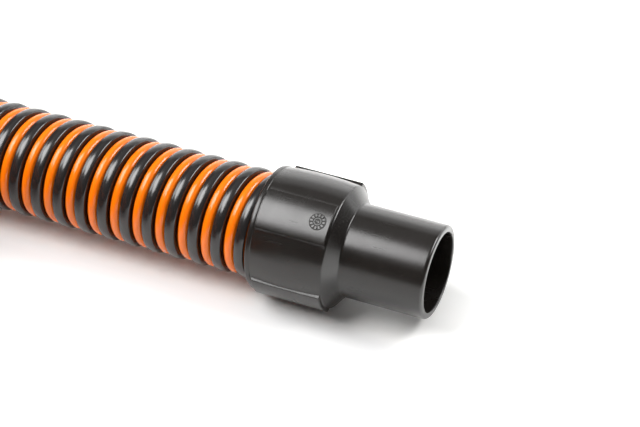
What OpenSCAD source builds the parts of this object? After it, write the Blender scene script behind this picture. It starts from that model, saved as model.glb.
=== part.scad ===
// Suction hose for cleaning pools, with a swivel cuff on one end and a fixed cuff on the other,
// stored as a tied coil. The origin is the middle of the swivel cuff's mouth, +X points out of
// that mouth, and the hose leaves towards -X. Millimetres.

/* [Hose] */
// Inside diameter of the hose
hose_bore = 38; // [34:0.5:40]
// Thickness of the smooth inner wall
liner_wall = 1.2; // [0.8:0.1:2]
// Height of a black rib above the inner wall
black_h = 5.8; // [5.2:0.1:7]
// Height of an orange rib above the inner wall
orange_h = 4.8; // [3:0.1:4.9]
// Width of a black rib along the hose
black_w = 5.6; // [4.5:0.1:6.5]
// Width of an orange rib along the hose
orange_w = 5.15; // [4:0.05:6]
// Space left between neighbouring ribs at their feet
strip_gap = 0.5; // [0.4:0.05:1]

/* [Cuffs] */
// Inside diameter of a cuff's spigot tube
cuff_bore = 38; // [34:0.5:40]
// Wall of the spigot tube
tube_wall = 3.2; // [2.5:0.1:4]
// Length of the spigot tube, from its mouth to the shoulder
tube_len = 40.2; // [35:0.2:50]
// Length of the shoulder, with the fillet at its foot
shoulder_len = 6.2; // [5:0.2:8]
// Fillet between the tube and the shoulder
foot_round = 1; // [0.4:0.1:2]
// Length of the collar behind the shoulder
collar_len = 37.6; // [36:0.2:46]
// Wall of the collar round the sleeve, at the collar's ends
collar_wall = 1.8; // [1.6:0.1:3]
// Swelling of the collar half way along it
collar_crown = 0.9; // [0:0.1:1.2]
// Rounding of the collar's front edge
front_round = 1.4; // [0.6:0.1:2]
// Rounding of the mouth's outer edge
mouth_round = 1.4; // [0.6:0.1:2]
// Rounding of the collar's rear edge
rear_round = 1.1; // [0.6:0.1:1.2]

/* [Grip pads] */
// Number of grip pads round a collar
pad_count = 4; // [3:1:6]
// Angle that a pad covers, in degrees
pad_arc = 39; // [24:1:44]
// Height of a pad above the collar's ends
pad_h = 1.7; // [1:0.1:2.2]
// Length of a pad along the collar
pad_len = 34.2; // [26:0.2:35]
// Angle of the first pad's middle from straight up
pad_turn = 33; // [25:0.5:40]
// Angle by which the last pad stands closer to the one before it
last_pad_shift = 10; // [0:1:12]

/* [Swivel] */
// Wall of the threaded sleeve outside the black ribs
sleeve_wall = 1.35; // [1.2:0.05:2]
// Room between the sleeve's thread and the ribs that it holds
thread_clear = 0.12; // [0.08:0.02:0.3]
// Running clearance between the sleeve and the collar, in radius
run_clear = 0.07; // [0.04:0.01:0.1]
// Thickness of the inward lip at the sleeve's front
sleeve_lip = 2; // [1.4:0.1:3]
// Thickness of the seal in the collar's bottom
seal_t = 2.4; // [1.5:0.1:3]
// Thickness of the gasket between the sleeve's lip and the hose end
gasket_t = 1.5; // [1:0.1:2.5]
// Thickness of the thrust washer
washer_t = 1; // [0.6:0.1:1.4]
// Thickness of the snap ring
snap_t = 1.5; // [1:0.1:2]
// Depth of the snap ring's groove
groove_depth = 0.8; // [0.5:0.05:1]
// End play of the sleeve between its seal and its washer
end_play = 0.1; // [0.05:0.05:0.3]

/* [Coil and ties] */
// Radius of the coil's outer turn, at the hose's middle
coil_r = 302; // [290:1:340]
// Space between turns that lie beside or on each other
turn_gap = 2; // [1.5:0.5:4]
// Thickness of a tie strap
tie_t = 1.6; // [1:0.1:2.5]
// Width of a tie strap
tie_w = 24; // [15:1:40]

/* [Hidden] */

BLACK = [0.12, 0.12, 0.12];
ORANGE = [1, 0.45, 0.05];
RUBBER = [0.2, 0.2, 0.21];
STEEL = [0.7, 0.71, 0.72];
WEB = [0.25, 0.14, 0.1];

// Hose section
liner_r = hose_bore / 2 + liner_wall;
hose_r = liner_r + black_h;
orange_r = liner_r + orange_h;
rib_pitch = black_w + orange_w + 2 * strip_gap;
orange_shift = rib_pitch / 2;

// Cuff and swivel, from the mouth at x = 0 towards the hose
mouth_chamfer = 0.4;
lip_chamfer = 0.5;
tube_r = cuff_bore / 2 + tube_wall;
thread_r = hose_r + thread_clear;
sleeve_r = thread_r + sleeve_wall;
cavity_r = sleeve_r + run_clear;
collar_r = cavity_r + collar_wall;
pad_r = collar_r + pad_h;
cone_angle = atan((collar_r - tube_r) / shoulder_len);
seat_back = 2;
collar_x = -tube_len - shoulder_len;
front_x = collar_x - 0.4;
rear_x = collar_x - collar_len;
seat_x = collar_x - seat_back;
sleeve_x = seat_x - seal_t - end_play;
gasket_x = sleeve_x - sleeve_lip;
hose_x = gasket_x - gasket_t;
rear_wall = 2.8;
snap_x = rear_x + rear_wall + snap_t;
washer_x = snap_x + end_play + washer_t;
sleeve_end = washer_x + end_play;
ring_clear = 0.6;
seat_clear = 0.05;
pad_x = collar_x;
pad_edge = 0.5;
floor_z = -lowest();

// Straight runs at the hose's two ends, and the helix of its ribs: a left-hand helix, its place
// along X given where it passes straight above the middle line
near_end = -220;
helix_x = -97.8;
steps = 12;

// Middle line of the free hose, between the straight runs and the coil
LEAD = [[-220, 0], [-255, 0], [-280, -0.1], [-305, -0.3], [-330, -0.6], [-355, -1], [-380, -1.4],
    [-405, -1.8], [-430, -2.1], [-450, -2.3], [-470, -2.3]];
TAIL = [[-302, 51.7], [-318, 51.7], [-334, 51.6], [-350, 51], [-366, 49.2], [-382, 46.1],
    [-398, 41.7], [-414, 35.9], [-430, 28.4], [-446, 20.1], [-462, 12.9], [-478, 7.6], [-494, 3.9],
    [-510, 1.4], [-526, 0.2], [-542, 0], [-560, 0], [-580, 0]];
COIL_X = -470;
COIL_TURNS = 3.25;
LOOP_RINGS = 24;
TIE_ANGLES = [0, 135, 255];
tip_round = 0.06;
coil_pitch = 2 * hose_r + turn_gap;
tie_gap = 0.3;
low_z = floor_z + tie_t + tie_gap + hose_r;
far_x = COIL_X - coil_r;
far_start = TAIL[len(TAIL) - 1][0];
far_straight = 36;
far_end = far_start - far_straight;
far_mouth = far_end + hose_x;
far_run = hose_x - far_straight;

// Angle of a pad's middle from straight up, and the collar's lowest reach below the axis
function pad_angle(k) = pad_turn + 360 * k / pad_count - (k == pad_count - 1 ? last_pad_shift : 0);
function lowest() = let (near = min([for (k = [0:pad_count - 1]) off_down(pad_angle(k))]))
    max(collar_r + collar_crown, pad_r * cos(max(0, near - pad_arc / 2)));
function off_down(a) = abs((a % 360) - 180);

// Points of a round corner, about a centre, between two angles
function arc(c, r, from, to, n = 6) =
    [for (i = [0:n]) let (a = from + (to - from) * i / n) [c[0] + r * cos(a), c[1] + r * sin(a)]];

// A profile of [radius, x] points turned round the X axis
module turned(points) rotate([0, 90, 0]) rotate_extrude($fn = 96) polygon(points);

// A flat ring from x to x + t
module ring(x, t, outer, inner) turned([[inner, x], [outer, x], [outer, x + t], [inner, x + t]]);

// One grip pad: a low curved block with sloping ends
module pad(angle) rotate([0, 90, 0]) rotate([0, 0, angle - 180 - pad_arc / 2])
    rotate_extrude(angle = pad_arc, $fn = 96)
        polygon([[collar_r - 0.5, pad_x - pad_len], [collar_r, pad_x - pad_len],
            [pad_r - pad_edge / 2, pad_x - pad_len + pad_edge / 3],
            [pad_r, pad_x - pad_len + pad_edge], [pad_r, pad_x - pad_edge],
            [pad_r - pad_edge / 2, pad_x - pad_edge / 4], [collar_r, pad_x], [collar_r - 0.5, pad_x]]);

// The cuff's moulding: spigot tube, shoulder, collar with its cavity and groove, and grip pads
module cuff_shell() {
    turned(concat(
        [[cuff_bore / 2, -mouth_chamfer], [cuff_bore / 2 + mouth_chamfer, 0]],
        arc([tube_r - mouth_round, -mouth_round], mouth_round, 90, 0),
        arc([tube_r + foot_round, -tube_len], foot_round, 180, 180 + cone_angle),
        arc([collar_r - front_round, front_x], front_round, cone_angle, 0),
        [for (k = [1:7]) [collar_r + collar_crown * (1 - pow(k / 4 - 1, 2)),
            front_x + (rear_x + rear_round - front_x) * k / 8]],
        arc([collar_r - rear_round, rear_x + rear_round], rear_round, 0, -90),
        [[cavity_r + lip_chamfer, rear_x], [cavity_r, rear_x + lip_chamfer],
            [cavity_r, snap_x - snap_t - seat_clear],
            [cavity_r + groove_depth, snap_x - snap_t - seat_clear],
            [cavity_r + groove_depth, snap_x + seat_clear],
            [cavity_r, snap_x + seat_clear], [cavity_r, seat_x], [cuff_bore / 2, seat_x]]));
    for (k = [0:pad_count - 1]) pad(pad_angle(k));
}

// Sides of a swept shape: rings of n points, joined one after the other
function sides(rings, n, from = 0, inward = false) =
    [for (k = [0:rings - 2], i = [0:n - 1]) each
        let (a = from + k * n + i, b = from + k * n + (i + 1) % n)
        inward ? [[a, b + n, b], [a, a + n, b + n]] : [[a, b, b + n], [a, b + n, a + n]]];

// A solid bar swept through rings of points
module bar(rings) {
    n = len(rings[0]);
    last = (len(rings) - 1) * n;
    polyhedron([for (r = rings) each r], concat(sides(len(rings), n),
        [for (i = [1:n - 2]) [0, i + 1, i]], [for (i = [1:n - 2]) [last, last + i, last + i + 1]]));
}

// A hollow tube between rings of its outside and rings of its bore, with flat ring-shaped ends
module pipe(outer, inner) {
    n = len(outer[0]);
    o = len(outer) * n;
    o_last = o - n;
    i_last = o + (len(inner) - 1) * n;
    polyhedron([for (r = outer) each r, for (r = inner) each r], concat(
        sides(len(outer), n), sides(len(inner), n, o, true),
        [for (i = [0:n - 1]) each let (j = (i + 1) % n)
            [[i, o + j, j], [i, o + i, o + j],
             [o_last + i, o_last + j, i_last + j], [o_last + i, i_last + j, i_last + i]]]));
}

// A ring of n points about c, square to the direction t
function round_ring(c, t, r, n, turn) =
    let (s = unit(cross(t, [0, 0, 1])), u = cross(s, t))
    [for (i = [0:n - 1]) let (a = turn + 360 * i / n) c + r * (cos(a) * s + sin(a) * u)];
function unit(v) = v / norm(v);

// Point at an angle from straight up, turning first towards -Y, at a radius and a place along X
function helix_point(a, x, r) = [x, -r * sin(a), r * cos(a)];

// A strip wound from one x to another: its section's [x, radius] points follow the helix
module strip(section, shift, from, to) intersection() {
    reach = max([for (p = section) abs(p[0])]) + 0.1;
    first = floor((helix_x + shift - to - reach) / rib_pitch * steps);
    last = ceil((helix_x + shift - from + reach) / rib_pitch * steps);
    bar([for (k = [first:last]) let (a = 360 * k / steps, x = helix_x + shift - rib_pitch * k / steps)
        [for (p = section) helix_point(a, x + p[0], p[1])]]);
    translate([from, -2 * hose_r, -2 * hose_r]) cube([to - from, 4 * hose_r, 4 * hose_r]);
}

// Sections of the two ribs: a black one with its crest left of the middle and a lower orange one
black_section = [[-black_w / 2, liner_r], [-black_w / 2, hose_r - 1.2], [-black_w * 0.2, hose_r],
    [black_w * 0.42, hose_r - 0.5], [black_w / 2, liner_r]];
orange_section = [[-orange_w / 2, liner_r], [-orange_w * 0.3, orange_r],
    [orange_w * 0.3, orange_r], [orange_w / 2, liner_r]];

// Least distance between neighbouring turns of a strip, over the points of its section
function turn_room(section) = min([for (p = section, q = section)
    norm([p[0] - q[0] + rib_pitch, p[1] - q[1]])]);

module black_strip(from, to) color(BLACK) strip(black_section, 0, from, to);
module orange_strip(from, to) color(ORANGE) strip(orange_section, orange_shift, from, to);

// The inner wall has as many sides as a rib has steps, so that the ribs lie flat on it
module liner(from, to) color(WEB) translate([from, 0, 0]) rotate([0, 90, 0]) difference() {
    cylinder(h = to - from, r = liner_r, $fn = steps);
    translate([0, 0, -1]) cylinder(h = to - from + 2, d = hose_bore, $fn = 192);
}

// The sleeve's thread fills the space over the orange rib, between two turns of the black one
module sleeve() color(BLACK) {
    tip = orange_r + thread_clear;
    root = thread_r / cos(180 / steps) + 0.15;
    half = rib_pitch / 2 - black_w / 2 - thread_clear - 0.25;
    turned([[cuff_bore / 2 + ring_clear, sleeve_x], [sleeve_r, sleeve_x], [sleeve_r, sleeve_end],
        [thread_r, sleeve_end], [thread_r, gasket_x], [cuff_bore / 2 + ring_clear, gasket_x]]);
    strip([[half, root], [half * 0.7, tip], [-half * 0.7, tip], [-half, root]],
        orange_shift, sleeve_end + 0.4, hose_x - 0.4);
}
module seal() color(RUBBER)
    ring(seat_x - seal_t, seal_t, cavity_r - seat_clear, cuff_bore / 2 + ring_clear);
module gasket() color(RUBBER)
    ring(gasket_x - gasket_t, gasket_t, thread_r - seat_clear, cuff_bore / 2 + ring_clear);

module swivel_cuff() color(BLACK) cuff_shell();
module thrust_washer() color("white")
    ring(washer_x - washer_t, washer_t, cavity_r - seat_clear, hose_r + ring_clear);
module snap_ring() color(STEEL)
    ring(snap_x - snap_t, snap_t, cavity_r + groove_depth - seat_clear, hose_r + ring_clear);

// The fixed end: the same parts at the far end, with their mouth towards -Y
module at_far_end() translate([far_x, far_mouth, 0]) rotate([0, 0, -90]) children();

// Middle line of the coil at u turns from its start: it spirals in, climbs a layer in the half
// turn where the spiral reverses, and spirals out again on top of itself
function coil_height(u) = let (t = min(1, max(0, (u - COIL_TURNS / 2) / 0.5 + 0.5)))
    low_z + coil_pitch * t * t * (3 - 2 * t);
function rounded(v) = sqrt(v * v + tip_round * tip_round);
function coil_radius(u) =
    coil_r - coil_pitch * (rounded(COIL_TURNS / 2) - rounded(u - COIL_TURNS / 2));
function coil_point(u) = let (a = 90 + 360 * u, r = coil_radius(u))
    [COIL_X + r * cos(a), -coil_r + r * sin(a), coil_height(u)];
function coil_way(u) = u <= 0 ? [-1, 0, 0] : u >= COIL_TURNS ? [0, -1, 0]
    : unit(coil_point(u + 0.002) - coil_point(u - 0.002));
function gap_to_self(points, turn) = min([for (i = [0:len(points) - 1])
    for (j = [i + round(turn * 0.75):1:len(points) - 1]) norm(points[i] - points[j])]) - 2 * hose_r;

// Ribbed tube along a list of [distance, height] points: a black and an orange rib a pitch, and
// a ring of its bore every few pitches, closer where the list curves more
module ribbed(list, place, way, bore_step) {
    from = list[0][0];
    to = list[len(list) - 1][0];
    n = 8;
    pitches = round(abs(to - from) / rib_pitch);
    step = (to - from) / pitches;
    valley = liner_r + 0.8;
    at = [for (k = [0:pitches - 1]) each [[k, valley], [k + 0.25, hose_r], [k + 0.5, valley],
        [k + 0.75, orange_r]], [pitches, valley]];
    bores = [for (k = [0:bore_step:pitches - bore_step]) k, pitches];
    pipe([for (a = at) let (d = from + step * a[0]) round_ring(place(d), way(d), a[1], n, 22.5)],
        [for (k = bores) let (d = from + step * k) round_ring(place(d), way(d), hose_bore / 2, n, 22.5)]);
}

module near_liner() liner(near_end, hose_x);
module near_black_strip() {
    black_strip(near_end, hose_x);
    echo(least_gap_of_black_strip = turn_room(black_section));
}
module near_orange_strip() {
    orange_strip(near_end, hose_x);
    echo(least_gap_of_orange_strip = turn_room(orange_section));
}
module hose_lead() color(BLACK) {
    height = function (x) lookup(x, LEAD);
    ribbed(LEAD, function (x) [x, 0, height(x)],
        function (x) unit([-10, 0, height(max(x - 5, COIL_X)) - height(min(x + 5, near_end))]), 7);
}
module hose_coil() color(BLACK) {
    rings = round(COIL_TURNS * LOOP_RINGS);
    n = 6;
    us = [for (k = [0:rings]) COIL_TURNS * k / rings];
    pipe([for (u = us) round_ring(coil_point(u), coil_way(u), hose_r, n, 0)],
        [for (u = us) round_ring(coil_point(u), coil_way(u), hose_bore / 2, n, 0)]);
    echo(least_gap_of_coil = gap_to_self([for (k = [0:rings * 4]) coil_point(COIL_TURNS * k / rings / 4)],
        LOOP_RINGS * 4));
}
module hose_tail() color(BLACK) {
    height = function (y) lookup(y, TAIL);
    ribbed(TAIL, function (y) [far_x, y, height(y)],
        function (y) unit([0, -10, height(max(y - 5, far_start)) - height(min(y + 5, -coil_r))]), 4);
}
module far_liner() at_far_end() liner(far_run, hose_x);
module far_black_strip() at_far_end() black_strip(far_run, hose_x);
module far_orange_strip() at_far_end() orange_strip(far_run, hose_x);
module swivel_sleeve() sleeve();
module swivel_gasket() gasket();
module swivel_seal() seal();
module fixed_sleeve() at_far_end() sleeve();
module fixed_gasket() at_far_end() gasket();
module fixed_cuff() color(BLACK) at_far_end() cuff_shell();

// A tie goes tight round the turns that pass at its angle. It is straight across, so it clears
// them at its two edges as well, where they have bowed inwards and climbed a little.
module tie_strap(k) {
    angle = TIE_ANGLES[k];
    edge = tie_w / 2 / coil_r / 6;
    bow = tie_w / 2 * tan(180 / LOOP_RINGS);
    turns = [for (u = [(angle + 270) % 360 / 360:1:COIL_TURNS], s = [-1, 0, 1])
        [coil_radius(u + s * edge) - abs(s) * bow, coil_height(u + s * edge)]];
    color(RUBBER) translate([COIL_X, -coil_r, 0]) rotate([0, 0, angle]) rotate([90, 0, 0])
        translate([0, 0, -tie_w / 2]) linear_extrude(tie_w) difference() {
            hull() for (t = turns) translate(t) circle(hose_r + tie_gap + tie_t, $fn = 32);
            hull() for (t = turns) translate(t) circle(hose_r + tie_gap, $fn = 32);
        }
}

swivel_cuff();
swivel_seal();
thrust_washer();
snap_ring();
swivel_sleeve();
swivel_gasket();
near_liner();
near_black_strip();
near_orange_strip();
hose_lead();
hose_coil();
hose_tail();
far_liner();
far_black_strip();
far_orange_strip();
fixed_sleeve();
fixed_gasket();
fixed_cuff();
tie_strap(0);  // tie_strap_1
tie_strap(1);  // tie_strap_2
tie_strap(2);  // tie_strap_3
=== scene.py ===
import math

import bpy
import numpy as np
from mathutils import Matrix, Vector


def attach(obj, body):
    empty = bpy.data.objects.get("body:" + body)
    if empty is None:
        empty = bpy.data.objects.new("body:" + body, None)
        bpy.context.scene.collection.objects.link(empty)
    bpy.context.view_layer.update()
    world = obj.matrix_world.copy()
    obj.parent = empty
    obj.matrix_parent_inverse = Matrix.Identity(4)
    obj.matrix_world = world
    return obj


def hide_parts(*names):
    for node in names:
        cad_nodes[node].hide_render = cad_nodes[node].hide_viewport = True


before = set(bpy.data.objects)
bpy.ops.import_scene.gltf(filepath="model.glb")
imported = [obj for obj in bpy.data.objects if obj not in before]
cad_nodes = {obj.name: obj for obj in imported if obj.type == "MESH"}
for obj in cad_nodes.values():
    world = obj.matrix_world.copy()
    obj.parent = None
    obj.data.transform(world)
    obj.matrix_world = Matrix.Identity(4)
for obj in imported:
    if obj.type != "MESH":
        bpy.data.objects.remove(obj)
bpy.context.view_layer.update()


# Camera. It stands a little to the mouth's side of the hose and looks down on it, with a long lens,
# so that the hose comes in from the left and the open mouth faces right.
camera_at = Vector((0.22693, -0.67564, 0.62066))
camera_right = Vector((0.92115, 0.38921, 0.0))
camera_up = Vector((-0.24756, 0.58590, 0.77165))
camera_back = Vector((0.30033, -0.71081, 0.63605))
camera_data = bpy.data.cameras.new("camera")
camera_data.lens = 116.8
camera_data.sensor_width = 36.0
camera_data.clip_start = 0.05
camera_data.clip_end = 60.0
camera = bpy.data.objects.new("camera", camera_data)
turn = Matrix((camera_right, camera_up, camera_back)).transposed()
camera.matrix_world = Matrix.Translation(camera_at) @ turn.to_4x4()
bpy.context.scene.collection.objects.link(camera)
bpy.context.scene.camera = camera


# The hose's inner wall. A smooth tube of flexible EVA, extruded as a flat tape and wound on itself, that
# the ribs are welded to. One length of 6 m runs from the swivel cuff through a tied coil to the fixed cuff.
HOSE_END = 0.0544
COIL_MIDDLE = (-0.470, -0.302)
COIL_R = 0.302
COIL_TURNS = 3.25
TURN_PITCH = 0.054
TURN_BACK = 0.06
CLIMB = 0.5
LOW_TURN = -0.002344
FAR_X = -0.772
FAR_END = -0.616
ROUTE_STEP = 0.005
ROUTE_SPREAD = 0.016
BORE_R = 0.019
WALL_R = 0.0202
LEAD = [[-0.220, 0], [-0.255, 0], [-0.280, -0.0001], [-0.305, -0.0003], [-0.330, -0.0006],
        [-0.355, -0.0010], [-0.380, -0.0014], [-0.405, -0.0018], [-0.430, -0.0021], [-0.450, -0.0023],
        [-0.470, -0.0023]]
TAIL = [[-0.302, 0.0517], [-0.318, 0.0517], [-0.334, 0.0516], [-0.350, 0.0510], [-0.366, 0.0492],
        [-0.382, 0.0461], [-0.398, 0.0417], [-0.414, 0.0359], [-0.430, 0.0284], [-0.446, 0.0201],
        [-0.462, 0.0129], [-0.478, 0.0076], [-0.494, 0.0039], [-0.510, 0.0014], [-0.526, 0.0002],
        [-0.542, 0], [-0.560, 0], [-0.580, 0]]


def coil_line(turns):
    """Points of the coil after so many turns. It spirals in by one turn pitch a turn to half way and out
    again, rounded over TURN_BACK turns where it goes back, and climbs one turn pitch in the CLIMB turns
    about the middle, in a smooth S."""
    half = COIL_TURNS / 2
    from_half = np.sqrt((turns - half) ** 2 + TURN_BACK ** 2)
    radius = COIL_R - TURN_PITCH * (math.hypot(half, TURN_BACK) - from_half)
    climb = np.clip((turns - half) / CLIMB + 0.5, 0, 1)
    height = LOW_TURN + TURN_PITCH * climb ** 2 * (3 - 2 * climb)
    angle = np.radians(90 + 360 * turns)
    return np.stack([COIL_MIDDLE[0] + radius * np.cos(angle), COIL_MIDDLE[1] + radius * np.sin(angle),
                     height], 1)


def even_steps(points, step):
    """The same line through points about step apart, found by distance along it."""
    along = np.r_[0, np.cumsum(np.linalg.norm(np.diff(points, axis=0), axis=1))]
    wanted = np.linspace(0, along[-1], round(along[-1] / step) + 1)
    return wanted, np.stack([np.interp(wanted, along, points[:, k]) for k in range(3)], 1)


def softened(points, step, spread):
    """The line averaged along itself with a bell-shaped weight, its ends carried on straight."""
    reach = round(3 * spread / step)
    weight = np.exp(-0.5 * (np.arange(-reach, reach + 1) * step / spread) ** 2)
    longer = np.vstack([2 * points[0] - points[reach:0:-1], points,
                        2 * points[-1] - points[-2:-reach - 2:-1]])
    return np.stack([np.convolve(longer[:, k], weight / weight.sum(), "valid") for k in range(3)], 1)


def unit(vectors):
    """Vectors brought to length one."""
    return vectors / np.linalg.norm(vectors, axis=-1, keepdims=True)


lead = np.array([[x, 0, z] for x, z in LEAD])
tail = np.array([[FAR_X, y, z] for y, z in TAIL])
coil = coil_line(np.linspace(0, COIL_TURNS, 313))
rough = np.vstack([[[-HOSE_END, 0, 0]], lead, coil[1:-1], tail, [[FAR_X, FAR_END, 0]]])
route = softened(even_steps(rough, ROUTE_STEP)[1], ROUTE_STEP, ROUTE_SPREAD)
way, route = even_steps(route, ROUTE_STEP)
hose_length = way[-1]
ahead = unit(np.gradient(route, way, axis=0))
upward = unit(np.array([0, 0, 1]) - ahead * ahead[:, 2:])
sideward = np.cross(upward, ahead)


def on_hose(distance, angle, radius):
    """Points at a distance along the hose, an angle round it from its upper side and a radius from its
    middle line: place + radius * (cos(angle) * up + sin(angle) * side)."""
    place, up, side = (np.stack([np.interp(distance, way, a[:, k]) for k in range(3)], -1)
                       for a in (route, upward, sideward))
    return place + radius[..., None] * (np.cos(angle)[..., None] * up + np.sin(angle)[..., None] * side)


def surface(name, grid, uv=None, around=True, along=False, caps=False, sharp=40):
    """A mesh from a grid of points: four-sided faces between each row and the next and each column and
    the next, the last column joined to the first where it goes around, the last row to the first where
    it goes along, one face over the first and the last row where it has caps. Turned outside out if its
    volume comes out below nothing. uv is the places of the rows and the columns, one more where joined."""
    rows, columns = grid.shape[:2]
    i, j = (a.ravel() for a in np.meshgrid(np.arange(rows - (not along)), np.arange(columns - (not around)),
                                           indexing="ij"))
    i_next, j_next = (i + 1) % rows, (j + 1) % columns
    corners = np.stack([i * columns + j, i_next * columns + j, i_next * columns + j_next,
                        i * columns + j_next], 1)
    points = grid.reshape(-1, 3)
    a, b, c, d = (points[corners[:, k]] for k in range(4))
    inside_out = np.einsum("ij,ij->", a, np.cross(b, c) + np.cross(c, d)) < 0
    faces = (corners[:, ::-1] if inside_out else corners).tolist()
    if caps:
        first, last = list(range(columns)), list(range((rows - 1) * columns, rows * columns))
        faces += [first, last[::-1]] if inside_out else [first[::-1], last]
    mesh = bpy.data.meshes.new(name)
    mesh.from_pydata(points.tolist(), [], faces)
    if uv is not None:
        u = np.stack([uv[0][i], uv[0][i + 1], uv[0][i + 1], uv[0][i]], 1)
        v = np.stack([uv[1][j], uv[1][j], uv[1][j + 1], uv[1][j + 1]], 1)
        if inside_out:
            u, v = u[:, ::-1], v[:, ::-1]
        flat = np.zeros((len(mesh.loops), 2), np.float32)
        flat[:u.size] = np.stack([u.ravel(), v.ravel()], 1)
        mesh.uv_layers.new(name="UVMap").data.foreach_set("uv", flat.ravel())
    mesh.polygons.foreach_set("use_smooth", np.ones(len(mesh.polygons), bool))
    mesh.set_sharp_from_angle(angle=math.radians(sharp))
    piece = bpy.data.objects.new(name, mesh)
    bpy.context.scene.collection.objects.link(piece)
    return piece


class Shade:
    """One output of a material's nodes, used like a number: + - and * add Math nodes."""

    def __init__(self, tree, output=None):
        self.tree = tree
        self.output = output

    def node(self, kind, settings=None, inputs=None, out=0):
        """Adds a node, makes its settings, fills its inputs by name or number and gives one output."""
        made = self.tree.nodes.new(kind)
        for key, value in (settings or {}).items():
            setattr(made, key, value)
        for key, value in (inputs or {}).items():
            if isinstance(value, Shade):
                self.tree.links.new(value.output, made.inputs[key])
            else:
                made.inputs[key].default_value = value
        return Shade(self.tree, made.outputs[out])

    def maths(self, operation, first, second):
        return self.node("ShaderNodeMath", {"operation": operation}, {0: first, 1: second})

    def __add__(self, other):
        return self.maths("ADD", self, other)

    def __radd__(self, other):
        return self.maths("ADD", other, self)

    def __sub__(self, other):
        return self.maths("SUBTRACT", self, other)

    def __rsub__(self, other):
        return self.maths("SUBTRACT", other, self)

    def __mul__(self, other):
        return self.maths("MULTIPLY", self, other)

    def __rmul__(self, other):
        return self.maths("MULTIPLY", other, self)

    def between(self, low, high):
        """0 below low, 1 above high, and a smooth step from one to the other."""
        return self.node("ShaderNodeMapRange", {"interpolation_type": "SMOOTHSTEP"},
                         {"Value": self, "From Min": low, "From Max": high})

    def stretched(self, x, y, z):
        """A place with its three numbers multiplied."""
        return self.node("ShaderNodeVectorMath", {"operation": "MULTIPLY"}, {0: self, 1: (x, y, z)})

    def noise(self, scale, detail=2.0, rough=0.5):
        """Cloudy noise at this place, from 0 to 1."""
        return self.node("ShaderNodeTexNoise", None,
                         {"Vector": self, "Scale": scale, "Detail": detail, "Roughness": rough})

    def colours(self, first, second):
        """A colour between two, by this share of the second."""
        return self.node("ShaderNodeMix", {"data_type": "RGBA"}, {0: self, 6: first, 7: second}, out=2)

    def bumped(self, distance, strength=1.0):
        """The surface's direction with this height on it, a height of 1 being so many metres."""
        return self.node("ShaderNodeBump", None,
                         {"Strength": strength, "Distance": distance, "Height": self})


def finish_of(name, **fixed):
    """A new material, its main shader with these fixed values, and the piece's own places and UVs."""
    made = bpy.data.materials.new(name)
    made.use_nodes = True
    tree = made.node_tree
    shader = tree.nodes["Principled BSDF"]
    for key, value in fixed.items():
        shader.inputs[key.replace("_", " ")].default_value = value
    places = tree.nodes.new("ShaderNodeTexCoord")
    return made, shader, Shade(tree, places.outputs["Object"]), Shade(tree, places.outputs["UV"])


def feed(shader, **inputs):
    """Links shades to the main shader's inputs."""
    for key, shade in inputs.items():
        shade.tree.links.new(shade.output, shader.inputs[key.replace("_", " ")])


wall_plastic, shader, place, uv = finish_of("inner_wall_plastic", IOR=1.48)
cloud = place.noise(90, 3)
seam = uv.stretched(1, 0, 0).node("ShaderNodeTexWave", {"wave_type": "BANDS", "bands_direction": "X"},
                                  {"Vector": uv, "Scale": 53.5, "Distortion": 0.0})
# Partly painted reflection: over the wall's own dark tone, its orange-brown tint stands in for the orange
# ribs' light bounced into the narrow gaps.
feed(shader, Base_Color=cloud.colours((0.060, 0.022, 0.010, 1), (0.105, 0.040, 0.016, 1)),
     Roughness=0.38 + cloud * 0.2, Normal=(seam + place.noise(700) * 0.3).bumped(0.00006))

rings = np.linspace(0, hose_length, round(hose_length / 0.010) + 1)
wall_way = np.r_[rings, rings[::-1]]
wall_radius = np.r_[np.full(len(rings), WALL_R), np.full(len(rings), BORE_R)]
round_wall = np.radians(np.arange(0, 360, 10))
hose_wall = surface(
    "hose_wall",
    on_hose(wall_way[:, None] + 0 * round_wall, 0 * wall_way[:, None] + round_wall,
            wall_radius[:, None] + 0 * round_wall),
    uv=(np.r_[wall_way, 0], np.radians(np.arange(0, 370, 10)) * WALL_R), along=True)
hose_wall.data.materials.append(wall_plastic)
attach(hose_wall, "hose")
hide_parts("near_liner", "hose_lead", "hose_coil", "hose_tail", "far_liner")


# The black ribs. One strip of stiff black EVA, round on top with a squarer shoulder towards the swivel
# cuff, extruded and wound left-handed round the wall at a pitch of 11.75 mm while it is still soft. In the
# run behind the swivel cuff, which is pulled a little, the turns lean by 4 degrees.
RIB_PITCH = 0.01175
RIB_PHASE = -0.0978
FAR_MOUTH = -0.6704
PAST_END = 0.003
NEAR_WAY = 0.1656
HALF_WAY = 3.0
NEAR_STEPS = 72
FAR_STEPS = 36
PHASE_EASE = 0.3
LEAN = 0.072
LEAN_TURN = math.radians(48)
LEAN_FROM, LEAN_FULL = 0.018, 0.030
LEAN_FALLS, LEAN_TO = 0.24, 0.34
ROOT_R = 0.0199
BLACK_R = 0.0260
BLACK_HALF = 0.0028
CREST_SHIFT = 0.0002
LEFT_SPAN, LEFT_DROP = 0.0026, 0.00115
CREST_ARC = 0.0063
CREST_SPAN = 0.0019
SHOULDER_AT = (0.00143, 0.024751)
SHOULDER_ROUND = 0.0010
FOOT_R = 0.0220

near_turns = (RIB_PHASE + HOSE_END + way) / RIB_PITCH
far_turns = (FAR_MOUTH - route[-1, 1] - RIB_PHASE) / RIB_PITCH
spare = (far_turns - near_turns[-1] + 0.5) % 1 - 0.5
eased = np.clip((way - PHASE_EASE) / (hose_length - 2 * PHASE_EASE), 0, 1)
rib_turns = near_turns + spare * eased ** 2 * (3 - 2 * eased)


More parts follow.
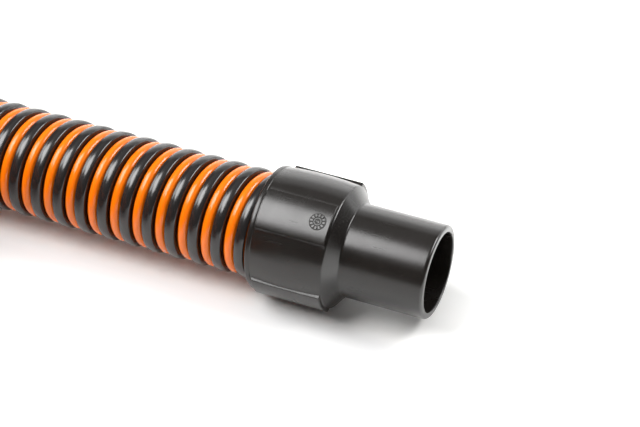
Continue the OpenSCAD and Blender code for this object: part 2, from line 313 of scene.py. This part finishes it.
def rib(name, section, shift, start, end, steps):
    """A rib between two distances along the hose: each point of its section, given as a place along the
    hose towards the swivel cuff and a radius, follows the winding in so many steps a turn. Its places
    stay between the hose's two ends, where it is cut off square."""
    first = np.interp(start, way, rib_turns) - shift
    last = np.interp(end, way, rib_turns) - shift
    turns = np.linspace(first, last, round((last - first) * steps) + 1)
    middle = np.interp(turns + shift, rib_turns, way, left=-PAST_END, right=hose_length + PAST_END)
    angle = 2 * np.pi * turns[:, None] + 0 * section[:, 0]
    lean = LEAN * np.interp(middle, [LEAN_FROM, LEAN_FULL, LEAN_FALLS, LEAN_TO], [0, 1, 1, 0])
    leaning = middle[:, None] + BLACK_R * lean[:, None] * (np.cos(angle - LEAN_TURN) - 1)
    distance = np.clip(leaning - section[:, 0], 0, hose_length)
    grid = on_hose(distance, angle, section[:, 1] + 0 * distance)
    edge = np.linalg.norm(np.diff(section, axis=0, append=section[:1]), axis=1)
    return surface(name, grid, uv=(2 * np.pi * BLACK_R * turns, np.r_[0, np.cumsum(edge)]), caps=True,
                   sharp=70)


def black_section(round_steps, arc_steps, shoulder_steps):
    """A black rib's section from its left foot to its right: upright, a quarter ellipse up to the crest
    0.2 mm left of the middle, an arc of 6.3 mm radius down to the right shoulder, a round of 1 mm there,
    and a side that slopes out to the foot."""
    t = np.linspace(0, np.pi / 2, round_steps)
    left = np.stack([-CREST_SHIFT - LEFT_SPAN * np.cos(t), BLACK_R - LEFT_DROP * (1 - np.sin(t))], 1)
    out = np.linspace(0, CREST_SPAN, arc_steps)[1:]
    arc = np.stack([out - CREST_SHIFT, BLACK_R - out ** 2 / (2 * CREST_ARC)], 1)
    t = np.radians(np.linspace(73, 7.5, shoulder_steps))[1:]
    shoulder = np.array(SHOULDER_AT) + SHOULDER_ROUND * np.stack([np.cos(t), np.sin(t)], 1)
    return np.vstack([[[-BLACK_HALF, ROOT_R]], left, arc, shoulder,
                      [[BLACK_HALF, FOOT_R], [BLACK_HALF, ROOT_R]]])


def lay_rib(colour, near, far, shift, finish):
    """One rib in three pieces, so that none has too many faces: the straight run behind the swivel cuff,
    with a fine section, and two long stretches with a plainer one."""
    for stretch, section, start, end, steps, solids in (
            ("near", near, -PAST_END, NEAR_WAY, NEAR_STEPS, [f"near_{colour}_strip"]),
            ("coil", far, NEAR_WAY, HALF_WAY, FAR_STEPS, ["hose_lead", "hose_coil"]),
            ("rest", far, HALF_WAY, hose_length + PAST_END, FAR_STEPS,
             ["hose_coil", "hose_tail", f"far_{colour}_strip"])):
        piece = rib(f"{colour}_rib_{stretch}", section, shift, start, end, steps)
        piece.data.materials.append(finish)
        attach(piece, "hose")
        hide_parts(*solids)


black_near = black_section(8, 6, 8)
black_far = black_section(3, 2, 2)

black_plastic, shader, place, uv = finish_of("black_rib_plastic", IOR=1.56)
streak = uv.stretched(30, 2600, 1).noise(1.0, 3, 0.6)
patch = uv.stretched(90, 300, 1).noise(1.0, 2)
dust = place.noise(1500, 2).between(0.74, 0.80)
feed(shader, Base_Color=dust.colours((0.0145, 0.0130, 0.0130, 1), (0.08, 0.075, 0.07, 1)),
     Roughness=0.12 + streak * 0.10 + patch * 0.06, Normal=(streak + patch * 0.5).bumped(0.000012))

lay_rib("black", black_near, black_far, 0, black_plastic)


# The orange ribs. A second strip, softer, glossier and 1 mm lower, wound between the turns of the first,
# with upright sides and a domed top.
ORANGE_R = 0.0250
ORANGE_HALF = 0.00258
DOME_H = 0.0024


def orange_section(steps):
    """An orange rib's section: upright sides and half an ellipse over them, 5.16 mm wide, 2.4 mm high."""
    t = np.linspace(np.pi, 0, steps)
    dome = np.stack([ORANGE_HALF * np.cos(t), ORANGE_R - DOME_H * (1 - np.sin(t))], 1)
    return np.vstack([[[-ORANGE_HALF, ROOT_R]], dome, [[ORANGE_HALF, ROOT_R]]])


orange_near = orange_section(15)
orange_far = orange_section(5)

orange_plastic, shader, _, uv = finish_of("orange_rib_plastic", IOR=1.48)
streak = uv.stretched(25, 1800, 1).noise(1.0, 3, 0.55)
tone = uv.stretched(40, 500, 1).noise(1.0, 2)
feed(shader, Base_Color=tone.colours((0.93, 0.165, 0.001, 1), (0.96, 0.195, 0.002, 1)),
     Roughness=0.13 + streak * 0.10, Normal=(streak + tone * 0.4).bumped(0.000008))

lay_rib("orange", orange_near, orange_far, 0.5, orange_plastic)


# The two cuffs. Each is one injection moulding of black polypropylene: spigot tube, shoulder and a collar
# with four raised grip pads. One is snapped over its sleeve and turns on it, the other is bonded.
TUBE_R = 0.0222
TUBE_LEN = 0.0402
MOUTH_ROUND = 0.0014
BORE_ROUND = 0.0005
FOOT_ROUND = 0.0010
CONE_NORMAL = 37.1
COLLAR_R = 0.02934
CROWN = 0.0009
FRONT_X = -0.0468
FRONT_ROUND = 0.0014
REAR_X = -0.0840
REAR_ROUND = 0.0011
RIM_R = 0.02972
RIM_STEP = ((-0.08125, 0.0295), (-0.08140, 0.02968), (-0.08155, RIM_R))
CAVITY_R = 0.02754
CAVITY_ROUND = 0.0004
GROOVE_R = 0.02834
GROOVE_X = (-0.08125, -0.07965)
SEAT_X = -0.0484
SEAT_R = 0.0235
SEAT_EDGE = 0.0002
PAD_R = 0.03104
PAD_X = -0.0464
PAD_LEN = 0.0342
PAD_FACE = 0.00012
PAD_EDGE = 0.0003
PAD_FLAT = 0.0006
PAD_TURNS = (33, 123, 213, 293)
PAD_TOP = 18.3
PAD_FOOT = 20.5


def corner(x, r, radius, start, end, count=6):
    """Points of a round corner about a middle at x, r, between two angles from the +X direction."""
    t = np.radians(np.linspace(start, end, count))
    return np.stack([x + radius * np.cos(t), r + radius * np.sin(t)], 1)


def collar_radius(x):
    """The collar's radius: a slight barrel, CROWN higher half way, and a round edge at its front."""
    t = np.clip((FRONT_X - x) / (FRONT_X - REAR_X - REAR_ROUND), 0, 1)
    over = np.clip(x - FRONT_X, 0, FRONT_ROUND)
    return COLLAR_R + CROWN * 4 * t * (1 - t) - FRONT_ROUND + np.sqrt(FRONT_ROUND ** 2 - over ** 2)


def pad_angles():
    """The columns' angles in degrees, as a first part and a part that is added in full at the height of a
    pad's lowest foot, and the pad's height there as a share: a pad's top, its two sides with a round crest
    and a small hollow at the foot, where the first part stays and the second grows, and the gap."""
    side = np.array([0.05, 0.10, 0.15, 0.21, 0.28, 0.36, 0.50, 0.68, 0.85, 0.92, 1.0])
    fine = np.linspace(0, 1, 401)
    slope = np.cumsum(np.clip(fine / 0.3, 0, 1) * np.clip((1 - fine) / 0.15, 0, 1))
    height = 1 - np.interp(side, fine, slope) / slope[-1]
    spread = PAD_FOOT - PAD_TOP
    first, second, share = [], [], []
    for turn, following in zip(PAD_TURNS, PAD_TURNS[1:] + (PAD_TURNS[0] + 360,)):
        gap = np.linspace(0, 1, 14)[1:-1]
        start, stop = turn + PAD_TOP, following - PAD_TOP
        first += [turn + np.linspace(-PAD_TOP, PAD_TOP, 16), start + 0 * side, start + gap * (stop - start),
                  stop + 0 * side]
        second += [np.zeros(16), spread * side, spread * (1 - 2 * gap), -spread * side[::-1]]
        share += [np.ones(16), height, 0 * gap, height[::-1]]
    return np.concatenate(first), np.concatenate(second), np.concatenate(share)


def cuff_grid():
    """The moulding's surface as a grid: a profile of x and radius along the rows, angles from straight up
    towards -Y along the columns. Along the collar a pad rises by a steep front and rear with a round edge
    of 0.3 mm, from the collar's radius to PAD_R, and its feet stand as far out as it is high."""
    ramp = np.array([0, 0.06, 0.12, 0.16, 0.22, 0.30, 0.42]) / 1000
    front_x = FRONT_X + FRONT_ROUND * np.cos(np.radians(np.linspace(CONE_NORMAL, 68, 7)))
    flat = np.linspace(-PAD_FLAT, -(PAD_LEN - PAD_FLAT), 34)
    pad_x = np.r_[-ramp, flat, ramp[::-1] - PAD_LEN] + PAD_X
    collar_x = np.r_[front_x, pad_x]
    tube_x = np.linspace(-0.002, -TUBE_LEN + 0.0004, 24)
    profile = np.vstack([
        [[SEAT_X, BORE_R]],
        np.stack([np.linspace(-0.046, -0.002, 12), np.full(12, BORE_R)], 1),
        corner(-BORE_ROUND, BORE_R + BORE_ROUND, BORE_ROUND, 270, 360, 5),
        [[0, BORE_R + 0.001], [0, TUBE_R - 0.0016]],
        corner(-MOUTH_ROUND, TUBE_R - MOUTH_ROUND, MOUTH_ROUND, 0, 90, 8)[1:],
        np.stack([tube_x, np.full(24, TUBE_R)], 1),
        corner(-TUBE_LEN, TUBE_R + FOOT_ROUND, FOOT_ROUND, 270, 180 + CONE_NORMAL, 7),
        np.stack([collar_x, collar_radius(collar_x)], 1),
        RIM_STEP,
        corner(REAR_X + REAR_ROUND, RIM_R - REAR_ROUND, REAR_ROUND, 90, 180, 8),
        corner(REAR_X + CAVITY_ROUND, CAVITY_R + CAVITY_ROUND, CAVITY_ROUND, 180, 270, 4),
        [[GROOVE_X[0], CAVITY_R], [GROOVE_X[0], GROOVE_R], [GROOVE_X[1], GROOVE_R], [GROOVE_X[1], CAVITY_R]],
        np.stack([np.linspace(-0.077, SEAT_X - SEAT_EDGE, 8), np.full(8, CAVITY_R)], 1),
        [[SEAT_X, CAVITY_R - SEAT_EDGE], [SEAT_X, SEAT_R]]])
    on_pad = np.isin(profile[:, 0], pad_x) & (profile[:, 1] >= COLLAR_R - 0.0002)
    inwards = np.where(on_pad, np.minimum(PAD_X - profile[:, 0], profile[:, 0] - PAD_X + PAD_LEN), 0)
    t = np.clip((inwards - PAD_FACE) / PAD_EDGE, 0, 1)
    rise = np.clip(inwards / PAD_FACE, 0, 1) * 0.82 + 0.18 * np.sqrt(1 - (1 - t) ** 2)
    rise = np.where(inwards > 0, rise, 0)
    room = np.where(on_pad, PAD_R - profile[:, 1], PAD_R - COLLAR_R)
    first, second, share = pad_angles()
    angle = np.radians(first + second * (room / (PAD_R - COLLAR_R))[:, None])
    radius = profile[:, 1:] + (room * rise)[:, None] * share
    return profile[:, :1] + 0 * radius, angle, radius


def about_x(x, angle, radius):
    """Points round the swivel end's axis, angles from straight up towards -Y."""
    return np.stack([x, -radius * np.sin(angle), radius * np.cos(angle)], -1)


def to_far_end(points):
    """The same points on the far cuff, whose mouth faces -Y: x, y, z go to far x + y, far mouth - x, z."""
    return np.stack([FAR_X + points[..., 1], FAR_MOUTH - points[..., 0], points[..., 2]], -1)


cuff_plastic, shader, place, _ = finish_of("cuff_plastic", IOR=1.52)
blotch = place.noise(70, 3)
grain = place.noise(900, 2)
haze = place.stretched(1, 0.5, 0.5).noise(140, 4, 0.6)
scratch = place.stretched(45, 900, 620).noise(1.0, 1).between(0.70, 0.76) * blotch.between(0.45, 0.6)
dust = place.noise(1300, 1).between(0.79, 0.83)
feed(shader,
     Base_Color=dust.colours((0.0110, 0.0090, 0.0076, 1), (0.10, 0.09, 0.08, 1)),
     Roughness=0.15 + blotch * 0.10 + haze * 0.10 + scratch * 0.10,
     Normal=(grain * 0.4 + haze * 0.8 - scratch * 0.4).bumped(0.000010))

cuff_x, cuff_angle, cuff_radius = cuff_grid()
cuff_points = about_x(cuff_x, cuff_angle, cuff_radius)
swivel_cuff = surface("swivel_cuff_moulding", cuff_points, along=True)
fixed_cuff = surface("fixed_cuff_moulding", to_far_end(cuff_points), along=True)
for piece, body, node in ((swivel_cuff, "swivel", "swivel_cuff"), (fixed_cuff, "hose", "fixed_cuff")):
    piece.data.materials.append(cuff_plastic)
    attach(piece, body)
    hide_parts(node)


# The mould marks. Raised by a round insert of the mould on one pad of each cuff, which leaves a matt disc
# 8.3 mm across: twelve tiles with the months' numbers, a ring and an arrow in the middle, 0.3 mm high.
MARK_X = -0.0526
MARK_TURN = 32.9
MARK_R = 4.15
RING_R = 1.6
TILE_FROM, TILE_TO = 2.78, 3.08
NUMBER_R = 2.45
RING_SIZES = (0.28, 0.16, -0.1, 0.20)
TILE_SIZES = (0.62, 0.44, -0.1, 0.26)
NUMBER_SIZES = (0.07, 0.04, 0.1, 0.31)
ARROW_SIZES = (0.24, 0.13, -0.1, 0.24)
ARROW = ((-0.2, -0.85), (0.25, 0.9), (-0.35, 0.35), (0.25, 0.9), (0.65, 0.2))
DIGITS = {
    "0": [(0, 0), (0, 2), (1, 2), (1, 0), (0, 0)],
    "1": [(0.2, 1.6), (0.6, 2), (0.6, 0)],
    "2": [(0, 2), (1, 2), (1, 1.1), (0, 0), (1, 0)],
    "3": [(0, 2), (1, 2), (0.4, 1.1), (1, 0.8), (0.9, 0), (0, 0)],
    "4": [(0.8, 0), (0.8, 2), (0, 0.7), (1.1, 0.7)],
    "5": [(1, 2), (0, 2), (0, 1.1), (1, 1.1), (1, 0), (0, 0)],
    "6": [(1, 2), (0, 1.2), (0, 0), (1, 0), (1, 1.1), (0, 1.1)],
    "7": [(0, 2), (1, 2), (0.4, 0)],
    "8": [(0, 0), (0, 2), (1, 2), (1, 0), (0, 0), (0, 1), (1, 1)],
    "9": [(0, 0), (1, 0.8), (1, 2), (0, 2), (0, 1), (1, 1)],
}


def strokes():
    """The mark's lines as pairs of ends in a flat drawing in mm, and for each the sizes: half its width at
    the foot, half its width at the top, and the heights of foot and top. A ring of 40 sides, twelve tiles
    set round it, a number on each with its feet to the middle, and the arrow."""
    t = np.radians(np.linspace(0, 360, 41))
    ring = RING_R * np.stack([np.cos(t), np.sin(t)], 1)
    ends, sizes = list(zip(ring[:-1], ring[1:])), [RING_SIZES] * 40
    for month in range(1, 13):
        t = math.radians(30 * month)
        out, right = np.array([math.sin(t), math.cos(t)]), np.array([math.cos(t), -math.sin(t)])
        ends.append((out * TILE_FROM, out * TILE_TO))
        sizes.append(TILE_SIZES)
        for k, digit in enumerate(str(month)):
            start = -0.2 if month < 10 else -0.42 + 0.44 * k
            line = [out * (NUMBER_R + 0.4 * y) + right * (start + 0.38 * x) for x, y in DIGITS[digit]]
            ends += list(zip(line[:-1], line[1:]))
            sizes += [NUMBER_SIZES] * (len(line) - 1)
    ends += list(zip(np.array(ARROW[:-1]), np.array(ARROW[1:])))
    return np.array(ends), np.array(sizes + [ARROW_SIZES] * (len(ARROW) - 1))


def mark_mesh(name, to_place):
    """Each line of the mark as a low bar with sloping sides: eight corners from its ends and its sizes, laid
    round the pad: along to x, across to an angle."""
    ends, sizes = (a / 1000 for a in strokes())
    along = unit(ends[:, 1] - ends[:, 0])
    across = np.stack([-along[:, 1], along[:, 0]], 1)
    corners = np.stack([ends[:, e] + sizes[:, top, None] * (s * across + (2 * e - 1) * along)
                        for top in (0, 1) for e, s in ((0, -1), (1, -1), (1, 1), (0, 1))], 1)
    lift = np.repeat(sizes[:, 2:], 4, axis=1)
    angle = math.radians(MARK_TURN) + corners[..., 0] / PAD_R
    points = to_place(about_x(MARK_X + corners[..., 1], angle, PAD_R + lift)).reshape(-1, 3)
    box = np.array([[3, 2, 1, 0], [4, 5, 6, 7], [0, 1, 5, 4], [1, 2, 6, 5], [2, 3, 7, 6], [3, 0, 4, 7]])
    faces = (box + 8 * np.arange(len(ends))[:, None, None]).reshape(-1, 4)
    mesh = bpy.data.meshes.new(name)
    mesh.from_pydata(points.tolist(), [], faces[:, ::-1].tolist())
    piece = bpy.data.objects.new(name, mesh)
    bpy.context.scene.collection.objects.link(piece)
    return piece


def mark_ground(name, to_place):
    """The mark's matt ground, a disc 0.03 mm proud of the pad: rings of points of a falling radius."""
    size = np.array([MARK_R, 4.10, 3.2, 2.2, 1.2, 0.3])[:, None] / 1000
    lift = np.array([-0.10, 0.03, 0.03, 0.03, 0.03, 0.03])[:, None] / 1000
    t = np.radians(np.arange(0, 360, 9))
    turn = math.radians(MARK_TURN) + size * np.cos(t) / PAD_R
    disc = about_x(MARK_X + size * np.sin(t), turn, PAD_R + lift + 0 * turn)
    return surface(name, to_place(disc), caps=True)


matt_plastic, shader, place, _ = finish_of("cuff_plastic_matt", IOR=1.52)
grain = place.noise(3000, 2)
feed(shader, Base_Color=grain.colours((0.0130, 0.0115, 0.0100, 1), (0.0180, 0.0160, 0.0145, 1)),
     Roughness=0.50 + grain * 0.2, Normal=grain.bumped(0.00002))

for name, to_place, body in (("swivel_cuff_mould_mark", lambda p: p, "swivel"),
                             ("fixed_cuff_mould_mark", to_far_end, "hose")):
    for piece, finish in ((mark_mesh(name, to_place), cuff_plastic),
                          (mark_ground(name + "_ground", to_place), matt_plastic)):
        piece.data.materials.append(finish)
        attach(piece, body)


# The parts inside the cuffs. A rubber seal and a flat gasket at each hose end, a sleeve of black nylon
# screwed onto the ribs, and behind it a white slip washer and a spring-steel ring in the collar's groove.
rubber, shader, place, _ = finish_of("seal_rubber", IOR=1.5)
powder = place.noise(400, 4)
feed(shader, Base_Color=powder.colours((0.028, 0.028, 0.030, 1), (0.055, 0.055, 0.056, 1)),
     Roughness=0.62 + powder * 0.25, Normal=powder.bumped(0.00005))

nylon, shader, place, _ = finish_of("sleeve_nylon", IOR=1.53)
cloud = place.noise(250, 3)
feed(shader, Base_Color=cloud.colours((0.022, 0.022, 0.024, 1), (0.036, 0.036, 0.038, 1)),
     Roughness=0.40 + cloud * 0.18, Normal=cloud.bumped(0.00003))

acetal, shader, place, _ = finish_of("washer_acetal", IOR=1.48)
cloud = place.noise(300, 3)
feed(shader, Base_Color=cloud.colours((0.80, 0.79, 0.74, 1), (0.88, 0.87, 0.83, 1)),
     Roughness=0.34 + cloud * 0.16, Normal=cloud.bumped(0.00002))

spring, shader, place, _ = finish_of("spring_steel", Metallic=1.0)
ground = place.stretched(200, 2500, 2500).noise(1.0, 3)
feed(shader, Base_Color=ground.colours((0.50, 0.51, 0.53, 1), (0.66, 0.67, 0.69, 1)),
     Roughness=0.28 + ground * 0.22, Normal=ground.bumped(0.00001))

for finish, names in ((rubber, ("swivel_seal", "swivel_gasket", "fixed_gasket")),
                      (nylon, ("swivel_sleeve", "fixed_sleeve")),
                      (acetal, ("thrust_washer",)), (spring, ("snap_ring",))):
    for name in names:
        solid = cad_nodes[name]
        if not solid.material_slots:
            solid.data.materials.append(finish)
        for material_slot in solid.material_slots:
            material_slot.material = finish


# The three ties. Black hook-and-loop tape 24 mm wide, woven on the outside, each drawn tight once round
# all the turns of the coil that pass it and closed on itself, with its end on the coil's outer side.
TIE_ANGLES = [0, 135, 255]
TIE_WIDTH = 0.024
TIE_THICK = 0.0012
TIE_CLEAR = 0.0006
END_FROM, END_TO = -62, 58


def turns_at(angle):
    """Where the hose crosses the upright half plane at an angle about the coil's middle: distances from
    the middle and heights, found where the route changes side."""
    flat = route[:, :2] - np.array(COIL_MIDDLE)
    out = np.array([math.cos(angle), math.sin(angle)])
    side = flat @ np.array([-out[1], out[0]])
    crossed = np.flatnonzero((side[:-1] <= 0) & (side[1:] > 0) & (flat[:-1] @ out > 0))
    share = side[crossed] / (side[crossed] - side[crossed + 1])
    at = route[crossed] + share[:, None] * (route[crossed + 1] - route[crossed])
    return np.stack([(at[:, :2] - np.array(COIL_MIDDLE)) @ out, at[:, 2]], 1)


def tie_line(angle, bearing, radius):
    """Points of a tight loop round the turns: for each bearing, the turn that lies furthest that way, and
    a radius from its middle."""
    centres = turns_at(angle)
    way_out = np.stack([np.cos(bearing), np.sin(bearing)], 1)
    furthest = centres[np.argmax(way_out @ centres.T, axis=1)]
    return furthest + radius[:, None] * way_out


def band(name, angle, line, inner, outer, closed):
    """A strap from its inner and its outer line: four corners with rounded edges at each place, swept
    across its width, at right angles to the hose."""
    across = TIE_WIDTH / 2 * np.array([-1, -0.985, -0.95, -0.5, 0, 0.5, 0.95, 0.985, 1])
    lift = np.array([0.45, 0.8, 1, 1, 1, 1, 1, 0.8, 0.45])
    w = np.r_[across, across[::-1]]
    mix = np.r_[lift, 0.35 * (1 - lift[::-1])]
    flat = inner[:, None] + mix[None, :, None] * (outer - inner)[:, None]
    out = np.array([math.cos(angle), math.sin(angle), 0])
    along = np.array([-math.sin(angle), math.cos(angle), 0])
    middle = np.array([*COIL_MIDDLE, 0])
    grid = middle + flat[..., :1] * out + flat[..., 1:] * np.array([0, 0, 1]) + w[None, :, None] * along
    run = np.r_[0, np.cumsum(np.linalg.norm(np.diff(line, axis=0), axis=1))]
    run = np.r_[run, run[-1] + np.linalg.norm(line[-1] - line[0])] if closed else run
    return surface(name, grid, uv=(run, np.r_[w, w[0]]), along=closed, caps=not closed, sharp=50)


tape, shader, place, uv = finish_of("tie_tape", IOR=1.45, Sheen_Weight=0.12, Sheen_Roughness=0.5)
weft = uv.node("ShaderNodeTexWave", {"wave_type": "BANDS", "bands_direction": "X"},
               {"Vector": uv, "Scale": 420.0, "Distortion": 0.6, "Detail": 1.0})
warp = uv.node("ShaderNodeTexWave", {"wave_type": "BANDS", "bands_direction": "Y"},
               {"Vector": uv, "Scale": 300.0, "Distortion": 0.4, "Detail": 1.0})
fuzz = place.noise(2500, 3)
feed(shader, Base_Color=(weft * warp).colours((0.012, 0.012, 0.013, 1), (0.045, 0.045, 0.048, 1)),
     Roughness=0.75 + fuzz * 0.2, Normal=(weft + warp + fuzz * 0.6).bumped(0.00022))

ties = []
for number, degrees in enumerate(TIE_ANGLES, 1):
    angle = math.radians(degrees)
    bearing = np.radians(np.arange(0, 360, 4))
    inside = np.full(len(bearing), BLACK_R + TIE_CLEAR)
    inner = tie_line(angle, bearing, inside)
    outer = tie_line(angle, bearing, inside + TIE_THICK)
    piece = band(f"tie_strap_{number}_loop", angle, outer, inner, outer, True)
    bearing = np.radians(np.linspace(END_FROM, END_TO, 31))
    lift = TIE_THICK * (1 + 0.25 * np.clip((bearing - 0.85) / 0.2, 0, 1))
    inner_end = tie_line(angle, bearing, BLACK_R + TIE_CLEAR + lift)
    outer_end = tie_line(angle, bearing, BLACK_R + TIE_CLEAR + lift + TIE_THICK)
    end = band(f"tie_strap_{number}_end", angle, outer_end, inner_end, outer_end, False)
    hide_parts(f"tie_strap_{number}")
    for strap in (piece, end):
        strap.data.materials.append(tape)
        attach(strap, "hose")
        ties.append(strap)

(["black_rib_near", "black_rib_coil", "black_rib_rest", "orange_rib_near",
                     "orange_rib_coil", "orange_rib_rest", "fixed_cuff_moulding", "fixed_cuff_mould_mark",
                     "fixed_cuff_mould_mark_ground", "fixed_sleeve", "fixed_gasket"] + ties)


# The floor and the light. A white sheet under the hose; two soft lamps on the left; on the right one that
# only reflections show and a fill lamp that none does; weak wide lamps overhead and behind. To the camera
# and in reflections the sheet's colour is graded by place: painted shade along the front of the straight
# run, and painted light past its mouth and behind it.
FLOOR_Z = -0.03024
FLOOR_HALF = 15
# Where the sheet's painted shade lies in front of the hose (along y), and where painted light begins past the
# mouth (along x) and behind (along y).
NEAR_PAINTED_SHADE = (-0.026, -0.016)
FAR_PAINTED_SHADE = (-0.050, -0.028)
PAINTED_LIGHT_PAST_MOUTH = (-0.015, 0.022)
PAINTED_LIGHT_BEHIND = (-0.06, 0.30)
steps = np.linspace(-FLOOR_HALF, FLOOR_HALF, 7)
grid = np.stack(np.meshgrid(steps, steps, [FLOOR_Z], indexing="ij"), -1)[:, :, 0]
floor = surface("floor", grid, around=False)
white_sheet, shader, place, _ = finish_of("white_sheet", Roughness=0.85, Specular_IOR_Level=0.1)
ray = white_sheet.node_tree.nodes.new("ShaderNodeLightPath")
seen, mirrored, through = (Shade(white_sheet.node_tree, ray.outputs[f"Is {kind} Ray"])
                           for kind in ("Camera", "Glossy", "Transmission"))
over_x, over_y = (place.node("ShaderNodeSeparateXYZ", None, {0: place}, out=k) for k in (0, 1))
# Painted shade: a band in front of the hose at 0.80, against 1.05 further off.
painted_shade_band = over_y.between(*FAR_PAINTED_SHADE).colours((1.05, 1.05, 1.04, 1), (0.80, 0.80, 0.80, 1))
# Painted shade next to and under the hose at 0.96, lighter than the band in front of it.
front = over_y.between(*NEAR_PAINTED_SHADE).colours(painted_shade_band, (0.96, 0.955, 0.94, 1))
# Painted light past the mouth at 1.70, lifting the hose's shadow there.
painted_light_beside = over_x.between(*PAINTED_LIGHT_PAST_MOUTH).colours(front, (1.70, 1.70, 1.68, 1))
# Painted light behind the hose, rising to 1.55.
painted_light_behind = over_y.between(*PAINTED_LIGHT_BEHIND).colours(painted_light_beside, (1.55, 1.55, 1.53, 1))
# Only camera, reflection and transmission rays see these painted colours; all other light sees 0.85.
feed(shader, Base_Color=(seen + mirrored + through).between(0, 1).colours((0.85, 0.85, 0.85, 1), painted_light_behind))
floor.data.materials.append(white_sheet)


def lamp(name, at, towards, size, radiance, shape="RECTANGLE", turned=0):
    """A flat lamp that isn't seen itself. Its power is radiance * pi * area, so that it looks this bright."""
    data = bpy.data.lights.new(name, "AREA")
    data.shape = shape
    data.size, data.size_y = size
    data.energy = radiance * math.pi * size[0] * size[1] * (math.pi / 4 if shape == "ELLIPSE" else 1)
    made = bpy.data.objects.new(name, data)
    made.matrix_world = (Matrix.Translation(at)
                         @ (Vector(towards) - Vector(at)).to_track_quat("-Z", "Y").to_matrix().to_4x4()
                         @ Matrix.Rotation(math.radians(turned), 4, "Z"))
    made.visible_camera = False
    bpy.context.scene.collection.objects.link(made)


lamp("soft_lamp", (-0.705, -0.52, 1.29), (-0.10, 0, 0.02), (0.74, 1.18), 10.8, "ELLIPSE", 50)
lamp("left_lamp", (-1.30, -0.20, 0.87), (-0.10, 0, 0), (0.78, 1.10), 5.8, "ELLIPSE", -34)
lamp("window_lamp", (0.85, 0.50, 1.01), (-0.14, 0, 0), (0.90, 0.60), 13.0, turned=-12)
lamp("right_fill_lamp", (0.81, 0.46, 1.06), (-0.14, 0, 0), (0.90, 0.28), 12.0, turned=-12)
bpy.data.objects["window_lamp"].visible_diffuse = False
bpy.data.objects["right_fill_lamp"].visible_glossy = False
lamp("overhead_lamp", (0, 0.3, 2.2), (0, 0, 0), (3.0, 2.4), 0.30)
lamp("back_lamp", (0, 2.0, 0.5), (0, 0, 0), (4.0, 0.9), 2.2)
lamp("upper_back_lamp", (0, 1.7, 1.25), (0, 0, 0), (3.0, 0.7), 0.9)
room = bpy.data.worlds.new("room")
room.use_nodes = True
room.node_tree.nodes["Background"].inputs["Color"].default_value = (0.09, 0.09, 0.09, 1)
bpy.context.scene.world = room
bpy.context.scene.view_settings.view_transform = "Standard"
